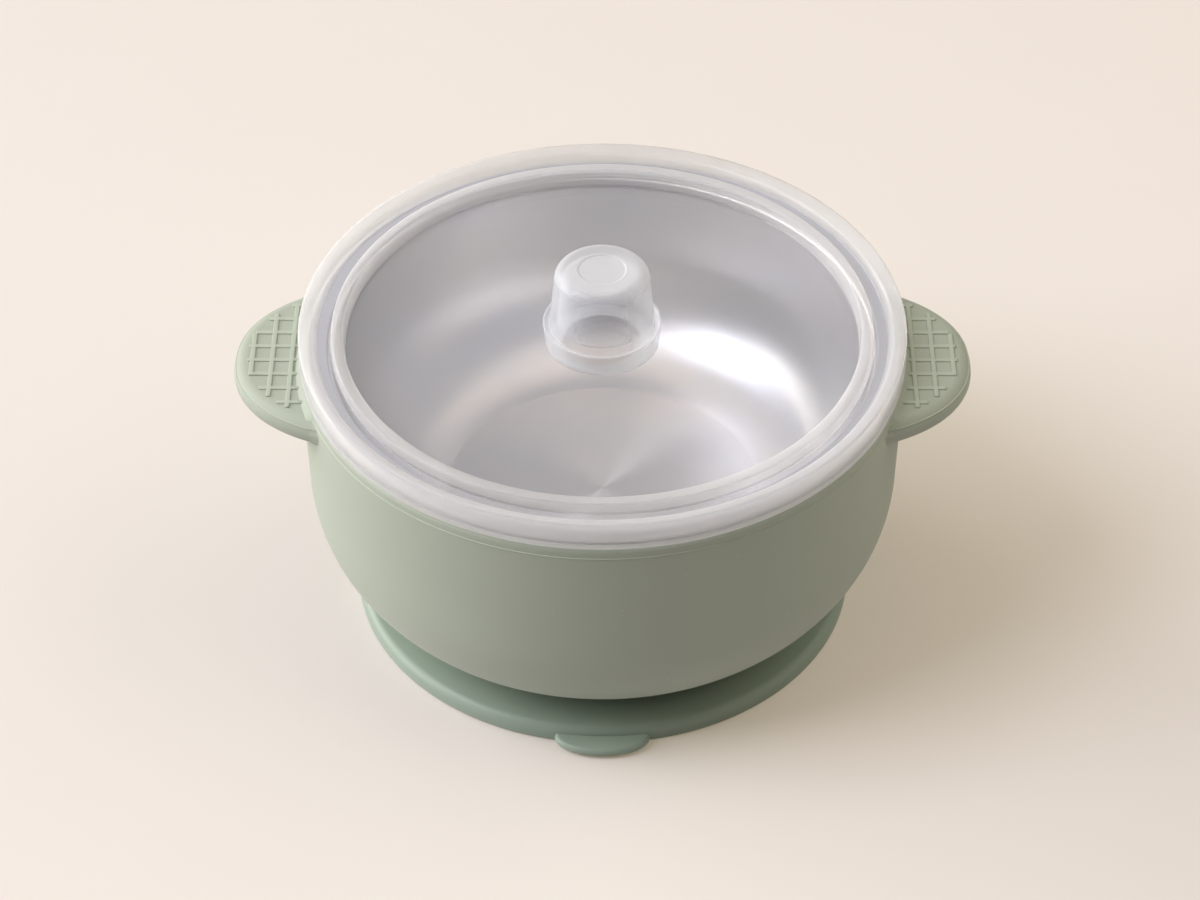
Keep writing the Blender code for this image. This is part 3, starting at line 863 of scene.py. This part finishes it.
def floor_material(colour, pale):
    """Smooth pale tabletop, with a paleness for the eye that lights no matte surface."""
    material, tree, shader = new_material("pale_floor")
    add_grain(tree, shader, colour, FLOOR_ROUGHNESS, FLOOR_DRIFT, 0.0, FLOOR_RELIEF)
    shader.inputs["Specular IOR Level"].default_value = FLOOR_GLOSS
    mix = add_node(tree, "ShaderNodeMix", data_type="RGBA")
    mix.inputs[6].default_value = (0.0, 0.0, 0.0, 1.0)
    mix.inputs[7].default_value = (*pale, 1.0)
    join(
        tree,
        (seen_mask(tree), mix.inputs[0]),
        (mix.outputs[2], shader.inputs["Emission Color"]),
    )
    shader.inputs["Emission Strength"].default_value = 1.0
    return material


def cup_silicone(colour):
    """The cup's smoother silicone, made once for the cup and its tab."""
    return bpy.data.materials.get("smooth_cup") or silicone_material("smooth_cup", colour, CUP_SURFACE)


# Sleeve


def sleeve_section(size):
    """Half section of the sleeve, from the neck hole up the inside and down the outside."""
    inner_corner = size.corner - size.wall
    centre = size.waist - size.corner
    rise = math.asin((size.corner_height - size.floor) / inner_corner)
    fall = math.asin((size.corner_height - size.bottom) / size.corner)
    inside = size.radius - size.wall
    line = size.parting_height
    low = size.handle_height - size.handle_edge
    section = HalfSection(size.neck_hole, size.bottom)
    section.line(size.neck_hole, size.floor, size.hole_round)
    section.line(centre + inner_corner * math.cos(rise), size.floor)
    section.turn(centre, size.corner_height, -rise, SLEEVE_INNER_ARC)
    section.path(
        (inside, size.straight_bottom),
        (inside, size.ledge_bottom, size.ledge_round),
        (size.mouth, size.ledge_top, size.ledge_round),
        (size.mouth, size.land_top, size.mouth_round),
        (size.land_radius, size.land_top, size.land_round),
        (size.land_radius, size.shoulder_top, size.land_root),
        (size.radius, size.shoulder_top, size.shoulder_round, SOFT_CORNER),
        (size.radius, line + PARTING_HALF),
        (size.radius + size.parting_proud, line),
        (size.radius, line - PARTING_HALF),
        (size.radius, line - PARTING_CLEAR),
    )
    section.rows(size.radius, low - ROOT_SPREAD * size.fillet, SLEEVE_ROWS)
    section.line(size.radius, size.straight_bottom)
    section.line(size.waist, size.corner_height)
    section.turn(centre, size.corner_height, fall, SLEEVE_OUTER_ARC)
    section.close()
    return section


def swell_roots(bm, size):
    """Push the wall out into a fillet round each handle's root, which runs out at the handle's ends."""
    for vert in bm.verts:
        radius = math.hypot(vert.co.x, vert.co.y)
        if radius < size.radius - ROOT_SKIN or vert.co.z < size.straight_bottom:
            continue
        along = abs(math.atan2(vert.co.y, abs(vert.co.x))) * size.radius
        rise = abs(vert.co.z - size.handle_height)
        gap = min(size.fillet, size.fillet + size.handle_edge - rise)
        end = ROOT_HALF_LONG + math.sqrt(max(0.0, size.handle_edge**2 - rise**2)) / ROOT_STRETCH
        if gap > 0 and along < end:
            push = min(size.fillet - math.sqrt(size.fillet**2 - gap**2), (end - along) / ROOT_LEAN)
            vert.co.x *= (radius + push) / radius
            vert.co.y *= (radius + push) / radius


def handle_mesh(size, side):
    """One handle slab with the parting line round its edge."""

    def outline(angle, grow):
        x, y = egg_point(
            angle, size.handle_centre, size.handle_reach + grow, size.handle_width + grow, HANDLE_POWER
        )
        return side * x, y

    ridge = (PARTING_TURN, size.parting_proud, PARTING_WIDTH)
    return rounded_slab(
        outline, size.handle_height, size.handle_edge, HANDLE_EDGE_STEPS, HANDLE_POINTS, ridge
    )


def core_mesh(radius, low, high):
    """A plain round core that takes away what would show inside the sleeve."""
    section = HalfSection(0, low)
    section.line(radius, low)
    section.line(radius, high)
    section.line(0, high)
    return section.spin(WIDE_TURN)


def add_bar(bm, low, high, rounding):
    """Add a bar with rounded edges between two corners."""
    made = bmesh.ops.create_cube(bm, size=1.0)["verts"]
    bmesh.ops.scale(bm, vec=[b - a for a, b in zip(low, high)], verts=made)
    bmesh.ops.translate(bm, vec=[(a + b) / 2 for a, b in zip(low, high)], verts=made)
    edges = {edge for vert in made for edge in vert.link_edges}
    bmesh.ops.bevel(
        bm, geom=list(edges), offset=rounding, affect="EDGES",
        segments=TINY_CORNER, profile=ROUND_PROFILE, material=-1,
    )


def rib_limit(value, full, other):
    """Where a rib stops short of the handle's rounded edge."""
    left = max(0.0, 1 - (abs(value) / full) ** HANDLE_POWER)
    return other * left ** (1 / HANDLE_POWER)


def rib_mesh(size, side):
    """The crossing grip ribs on one handle."""
    bm = bmesh.new()
    top = size.handle_height + size.handle_edge
    low, high = top - size.rib_height, top + size.rib_height
    half = size.rib_width / 2
    rounding = RIB_ROUNDING * size.rib_width
    for row in range(RIB_ROWS):
        y = (row - (RIB_ROWS - 1) / 2) * size.rib_pitch + size.rib_shift
        end = size.handle_centre + rib_limit(y, size.handle_width, size.handle_reach)
        ends = sorted((side * (size.land_radius + RIB_START), side * end))
        add_bar(bm, (ends[0], y - half, low), (ends[1], y + half, high), rounding)
    for column in range(RIB_COLUMNS):
        x = size.rib_column + column * size.rib_column_pitch
        end = rib_limit(x - size.handle_centre, size.handle_reach, size.handle_width)
        add_bar(bm, (side * x - half, -end, low), (side * x + half, end, high), rounding)
    return bm


def painted_highlight_bands(size):
    """Heights and radii of the ribs' tops and of the parting lines on wall and handles, which get a painted
    highlight.
    """
    top = size.handle_height + size.handle_edge
    edge = size.handle_height + (size.handle_edge + size.parting_proud) * math.sin(PARTING_TURN)
    tip = size.handle_centre + size.handle_reach + 2 * size.handle_edge
    line = size.parting_height
    low, high = [top + part * size.rib_height for part in PAINTED_HIGHLIGHT_RIB]
    return (
        ((low, high), (size.radius + ROOT_SPREAD * size.fillet, tip)),
        ((line - PAINTED_HIGHLIGHT_HALF, line + PAINTED_HIGHLIGHT_HALF), (size.radius - PAINTED_HIGHLIGHT_HALF, size.radius + PAINTED_HIGHLIGHT_DEPTH)),
        ((edge - PAINTED_HIGHLIGHT_HALF, edge + PAINTED_HIGHLIGHT_HALF), (size.radius + size.fillet, tip)),
    )


class SUCTION_BOWL_OT_sleeve(bpy.types.Operator):
    """Model the silicone sleeve with its two ribbed handles"""

    bl_idname = "suction_bowl.sleeve"
    bl_label = "Silicone sleeve"

    def execute(self, context):
        size = context.scene.suction_bowl.sleeve
        bm = sleeve_section(size).spin(SLEEVE_TURN)
        swell_roots(bm, size)
        sleeve = new_object("sleeve_body", bm)
        for side in (-1, 1):
            handle = new_object("handle", handle_mesh(size, side))
            core = new_object("core", core_mesh(size.land_radius, CORE_BOTTOM, CORE_TOP))
            combine(handle, core, "DIFFERENCE")
            combine(handle, new_object("ribs", rib_mesh(size, side)), "UNION", crossing=True)
            combine(sleeve, handle, "UNION")
        clean(sleeve)
        # The ribs' tops and the parting lines get a painted highlight in the sleeve's colour
        silicone = silicone_material("soft_sleeve", size.colour, SLEEVE_SURFACE, painted_highlight_bands(size))
        dress(sleeve, silicone, ["silicone_sleeve"])
        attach(sleeve, "outer_bowl")
        return {"FINISHED"}


# Steel bowl


class SUCTION_BOWL_OT_steel(bpy.types.Operator):
    """Model the spun steel bowl with its turned-down flange"""

    bl_idname = "suction_bowl.steel"
    bl_label = "Steel bowl"

    def execute(self, context):
        size = context.scene.suction_bowl.steel
        sheet = size.thickness
        centre = size.wall_radius - size.corner
        middle = size.floor + size.corner
        outer = size.corner + sheet
        lean = math.atan2(size.mouth_radius - size.wall_radius, size.flange_top - middle)
        section = HalfSection(0, size.floor)
        section.rows(centre, size.floor, STEEL_FLOOR_ROWS)
        section.turn(centre, middle, lean - math.pi / 2, STEEL_ARC)
        section.rows(size.mouth_radius, size.flange_top, STEEL_ROWS, size.mouth_round, SOFT_CORNER)
        section.path(
            (size.flange_radius, size.flange_top, size.lip_round, SOFT_CORNER),
            (size.flange_radius, size.lip_bottom, size.lip_edge, TINY_CORNER),
            (size.flange_radius - sheet, size.lip_bottom, size.lip_edge, TINY_CORNER),
            (size.flange_radius - sheet, size.flange_top - sheet),
            (size.mouth_radius + sheet, size.flange_top - sheet, size.under_round),
        )
        section.rows(centre + outer * math.cos(lean), middle - outer * math.sin(lean), STEEL_ROWS)
        section.turn(centre, middle, math.pi / 2 - lean, STEEL_ARC)
        section.line(0, size.floor - sheet)
        bowl = new_object("bowl_liner", section.spin(WIDE_TURN))
        dress(bowl, steel_material("spun_wall", size.colour, *WALL_STRETCH), ["steel_bowl"])
        # The floor's steel colour is darkened as painted shade, toning down the lamps mirrored in it
        floor = steel_material("spun_floor", size.floor_colour, *FLOOR_STRETCH)
        finish_faces(
            bowl, [floor], lambda face: int(abs(face.normal.z) > FLAT_FACE and face.center.z < middle)
        )
        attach(bowl, "inner_bowl")
        return {"FINISHED"}


# Suction cup and tab


class SUCTION_BOWL_OT_cup(bpy.types.Operator):
    """Model the suction cup with its rim, web, chamber and plug"""

    bl_idname = "suction_bowl.cup"
    bl_label = "Suction cup"

    def execute(self, context):
        size = context.scene.suction_bowl.cup
        section = HalfSection(0, size.head_top)
        section.path(
            (size.head_radius, size.head_top, size.head_round, SOFT_CORNER),
            (size.head_radius, size.head_bottom, size.head_under),
            (size.neck_radius, size.head_bottom, size.neck_top),
            (size.neck_radius, size.shoulder_top, size.neck_round),
            (size.web_radius, size.web_top, size.web_round, SOFT_CORNER),
            (size.rim_radius, size.rim_height, size.rim_round, BROAD_CORNER),
            (size.rim_radius, 0, size.foot_outer),
            (size.foot_inner, 0, size.foot_edge),
            (size.web_radius, size.web_top - size.web_thickness, size.chamber_round, SOFT_CORNER),
            (size.neck_radius, size.chamber_top - size.chamber_drop),
            (0, size.chamber_top),
        )
        cup = new_object("cup_disc", section.spin(WIDE_TURN))
        dress(cup, cup_silicone(size.colour), ["suction_cup"])
        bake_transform(cup)
        return {"FINISHED"}


class SUCTION_BOWL_OT_tab(bpy.types.Operator):
    """Model the pull tab that grows out of the cup's rim"""

    bl_idname = "suction_bowl.tab"
    bl_label = "Pull tab"

    def execute(self, context):
        size = context.scene.suction_bowl.cup

        def outline(angle, grow):
            x = (size.tab_half_width + grow) * math.cos(angle)
            out = (size.tab_reach + grow) * math.sin(angle)
            return x, -size.tab_root + (out * TAB_SUNK if out > 0 else out)

        slab = rounded_slab(outline, size.tab_height, size.tab_edge, TAB_EDGE_STEPS, TAB_POINTS)
        tab = new_object("cup_tab", slab)
        dress(tab, cup_silicone(size.colour), ["pull_tab"])
        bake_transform(tab)
        return {"FINISHED"}


# Lid


def lid_finish(place, size):
    """Which finish a place on the lid has: clear panel, milky ring and rib, or the lip's dense edge."""
    radius = math.hypot(place.x, place.y)
    if radius > size.skirt_radius and place.z < size.lip_top:
        return 2
    on_rib = size.rib_inner - FINISH_MARGIN < radius < size.rib_outer + FINISH_MARGIN
    return int(radius > size.groove_outer or (on_rib and place.z > size.panel_top))


class SUCTION_BOWL_OT_lid(bpy.types.Operator):
    """Model the lid with its lip, ring, groove, rib and sunken panel"""

    bl_idname = "suction_bowl.lid"
    bl_label = "Lid"

    def execute(self, context):
        size = context.scene.suction_bowl.lid
        section = HalfSection(size.hole, size.panel_bottom)
        section.path(
            (size.hole, size.panel_top, size.hole_round, TINY_CORNER),
            (size.rib_inner, size.panel_top, size.panel_fillet),
            (size.rib_inner + size.rib_lean, size.rib_top, size.rib_round),
            (size.rib_outer - size.rib_lean, size.rib_top, size.rib_round),
            (size.rib_outer, size.groove_floor, size.rib_round),
            (size.groove_outer, size.groove_floor, size.groove_fillet),
            (size.ring_inner, size.ring_top - size.ring_slope, size.ring_inner_round, SOFT_CORNER),
            (size.ring_outer, size.ring_top, size.ring_outer_round, BROAD_CORNER),
            (size.skirt_radius, size.lip_top + size.lip_chamfer, size.lip_round, TINY_CORNER),
            (size.radius, size.lip_top, size.lip_round, TINY_CORNER),
            (size.radius, size.skirt_bottom, size.skirt_round),
            (size.skirt_inner, size.skirt_bottom, size.skirt_round),
            (size.skirt_inner, size.underside, size.under_round),
            (size.plug_radius, size.underside, size.under_round),
            (size.plug_radius, size.plug_bottom, size.plug_round),
            (size.rib_inner, size.plug_bottom, size.under_round),
            (size.rib_inner - size.plug_slope, size.panel_bottom, size.slope_round),
        )
        section.close()
        lid = new_object("lid_cover", section.spin(WIDE_TURN))
        dress(lid, milky_material("clear_lid", size.colour, CLEAR_LID), ["lid_shell"])
        milky = milky_material("milky_lid", size.milky_colour, MILKY_LID)
        edge = milky_material("edge_lid", size.milky_colour, EDGE_LID)
        finish_faces(lid, [milky, edge], lambda face: lid_finish(face.center, size))
        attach(lid, "lid")
        return {"FINISHED"}


class SUCTION_BOWL_OT_seal(bpy.types.Operator):
    """Model the soft seal ring under the lid"""

    bl_idname = "suction_bowl.seal"
    bl_label = "Lid seal"

    def execute(self, context):
        size = context.scene.suction_bowl.lid
        section = HalfSection(size.seal_inner, size.seal_bottom)
        section.path(
            (size.seal_inner, size.seal_top, size.seal_round, TINY_CORNER),
            (size.seal_outer, size.seal_top, size.seal_round, TINY_CORNER),
            (size.seal_outer, size.seal_bottom, size.seal_round, TINY_CORNER),
        )
        section.close()
        seal = new_object("lid_gasket", section.spin(WIDE_TURN))
        # The seal's colour carries painted shade: darkened and cooled for the lid's shadow over the groove
        silicone = silicone_material("soft_seal", size.seal_shaded_colour, SEAL_SURFACE)
        dress(seal, silicone, ["lid_seal"])
        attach(seal, "lid")
        return {"FINISHED"}


def knob_finish(place, size):
    """Which finish a place on the knob has: clear cap, milky top and collar, thin inside, or pale foot."""
    if place.z > size.top - size.wall - FINISH_MARGIN:
        return 1
    if place.z > size.hollow_bottom:
        return 0
    if math.hypot(place.x, place.y) < size.spigot + INNER_MARGIN:
        return 2
    return 3 if place.z < size.foot + size.foot_edge else 1


class SUCTION_BOWL_OT_knob(bpy.types.Operator):
    """Model the hollow knob with its collar and spigot"""

    bl_idname = "suction_bowl.knob"
    bl_label = "Lid knob"

    def execute(self, context):
        size = context.scene.suction_bowl.knob
        edge = size.collar_radius - size.collar_edge
        taper = (size.collar_radius - size.foot_radius) / (size.collar_top - size.foot)
        section = HalfSection(0, size.top - size.mark_depth)
        section.path(
            (size.mark_radius, size.top - size.mark_depth, size.fine_round, TINY_CORNER),
            (size.mark_radius + size.mark_depth, size.top, size.fine_round, TINY_CORNER),
            (size.top_radius, size.top, size.top_round, TOP_CORNER),
            (size.cap_radius, size.step, size.collar_round, TINY_CORNER),
            (edge, size.step, size.fine_round, TINY_CORNER),
            (edge, size.collar_top, size.fine_round, TINY_CORNER),
            (size.collar_radius, size.collar_top, size.collar_round, SMALL_CORNER),
            (size.foot_radius + taper * size.foot_edge, size.foot + size.foot_edge),
            (size.foot_radius, size.foot, size.foot_round, SMALL_CORNER),
            (size.spigot, size.foot),
            (size.spigot, size.barb_top),
            (size.barb, size.barb_top),
            (size.spigot, size.spigot_bottom),
            (size.bore, size.spigot_bottom),
            (size.bore, size.bore_top, size.hollow_round),
            (size.cap_radius - size.wall, size.hollow_bottom, size.hollow_round),
            (size.top_radius - size.wall, size.top - size.wall, size.hollow_top, BROAD_CORNER),
            (0, size.top - size.wall),
        )
        knob = new_object("lid_handle", section.spin(SMALL_TURN))
        dress(knob, milky_material("clear_knob", size.colour, CLEAR_KNOB), ["lid_knob"])
        others = {"milky_knob": MILKY_KNOB, "inner_knob": INNER_KNOB, "foot_knob": FOOT_KNOB}
        finishes = [milky_material(name, size.colour, finish) for name, finish in others.items()]
        finish_faces(knob, finishes, lambda face: knob_finish(face.center, size))
        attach(knob, "lid")
        return {"FINISHED"}


# Stage


def add_lamp(name, place, spread, energy, colour, mirrored):
    """A soft panel of a width and a height, aimed at the bowl, which steel may mirror."""
    data = bpy.data.lights.new(name, "AREA")
    data.shape = "RECTANGLE"
    data.size, data.size_y = spread
    data.energy = energy
    data.color = colour
    lamp = bpy.data.objects.new(name, data)
    lamp.location = place
    lamp.visible_glossy = mirrored
    lamp.rotation_euler = (AIM - Vector(place)).to_track_quat("-Z", "Y").to_euler()
    bpy.context.scene.collection.objects.link(lamp)


def add_camera(size):
    """The camera at the photograph's angle."""
    data = bpy.data.cameras.new("camera")
    data.sensor_width = SENSOR_WIDTH
    data.lens = size.lens
    camera = bpy.data.objects.new("camera", data)
    target = Vector((size.target_side, 0, size.target_height))
    back = Vector((0, -math.cos(size.camera_pitch), math.sin(size.camera_pitch)))
    turn = Euler((math.pi / 2 - size.camera_pitch, 0, 0)).to_matrix()
    turn = turn @ Matrix.Rotation(size.camera_roll, 3, "Z")
    place = Matrix.Translation(target + back * size.camera_distance) @ turn.to_4x4()
    camera.matrix_world = Matrix.Rotation(size.camera_turn, 4, "Z") @ place
    bpy.context.scene.collection.objects.link(camera)
    bpy.context.scene.camera = camera


def add_sky(strength, backdrop):
    """Faint even light from all round, and a pale backdrop that the camera, metal and plastic see."""
    world = bpy.data.worlds.new("studio")
    world.use_nodes = True
    tree = world.node_tree
    shade = tree.nodes["Background"]
    mix = add_node(tree, "ShaderNodeMix", data_type="RGBA")
    mix.inputs[6].default_value = (*[strength * part for part in SKY_TINT], 1.0)
    mix.inputs[7].default_value = (*backdrop, 1.0)
    join(tree, (seen_mask(tree), mix.inputs[0]), (mix.outputs[2], shade.inputs["Color"]))
    bpy.context.scene.world = world


class SUCTION_BOWL_OT_stage(bpy.types.Operator):
    """Make the pale floor, the soft lights and the camera"""

    bl_idname = "suction_bowl.stage"
    bl_label = "Stage"

    def execute(self, context):
        size = context.scene.suction_bowl.stage
        bm = bmesh.new()
        bmesh.ops.create_grid(bm, x_segments=2, y_segments=2, size=FLOOR_SIZE / 2)
        floor = new_object("floor", bm)
        floor.data.materials.append(floor_material(size.floor_colour, size.floor_pale))
        for name, (place, spread, colour, mirrored) in LAMPS.items():
            add_lamp(f"{name}_light", place, spread, getattr(size, f"{name}_power"), colour, mirrored)
        add_sky(size.sky, size.backdrop)
        add_camera(size)
        context.scene.view_settings.view_transform = "Standard"
        return {"FINISHED"}


class SUCTION_BOWL_PT_pieces(bpy.types.Panel):
    """Lists the pieces of the suction bowl"""

    bl_idname = "SUCTION_BOWL_PT_pieces"
    bl_label = "Suction bowl"
    bl_space_type = "VIEW_3D"
    bl_region_type = "UI"
    bl_category = "Suction bowl"

    def draw(self, context):
        for operator in PIECES:
            self.layout.operator(operator.bl_idname)


PIECES = (
    SUCTION_BOWL_OT_steel,
    SUCTION_BOWL_OT_sleeve,
    SUCTION_BOWL_OT_cup,
    SUCTION_BOWL_OT_tab,
    SUCTION_BOWL_OT_lid,
    SUCTION_BOWL_OT_seal,
    SUCTION_BOWL_OT_knob,
    SUCTION_BOWL_OT_stage,
)
SETTINGS = (
    SleeveSettings,
    SteelSettings,
    CupSettings,
    LidSettings,
    KnobSettings,
    StageSettings,
    BowlSettings,
)
CLASSES = (*SETTINGS, *PIECES, SUCTION_BOWL_PT_pieces)


def register():
    """Register the settings, the operators and the panel."""
    for item in CLASSES:
        bpy.utils.register_class(item)
    bpy.types.Scene.suction_bowl = PointerProperty(type=BowlSettings)


def unregister():
    """Take everything back out."""
    del bpy.types.Scene.suction_bowl
    for item in reversed(CLASSES):
        bpy.utils.unregister_class(item)


def main():
    """Make every piece in order."""
    register()
    bpy.ops.suction_bowl.steel()
    bpy.ops.suction_bowl.sleeve()
    bpy.ops.suction_bowl.cup()
    bpy.ops.suction_bowl.tab()
    bpy.ops.suction_bowl.lid()
    bpy.ops.suction_bowl.seal()
    bpy.ops.suction_bowl.knob()
    bpy.ops.suction_bowl.stage()


if __name__ == "__main__":
    main()
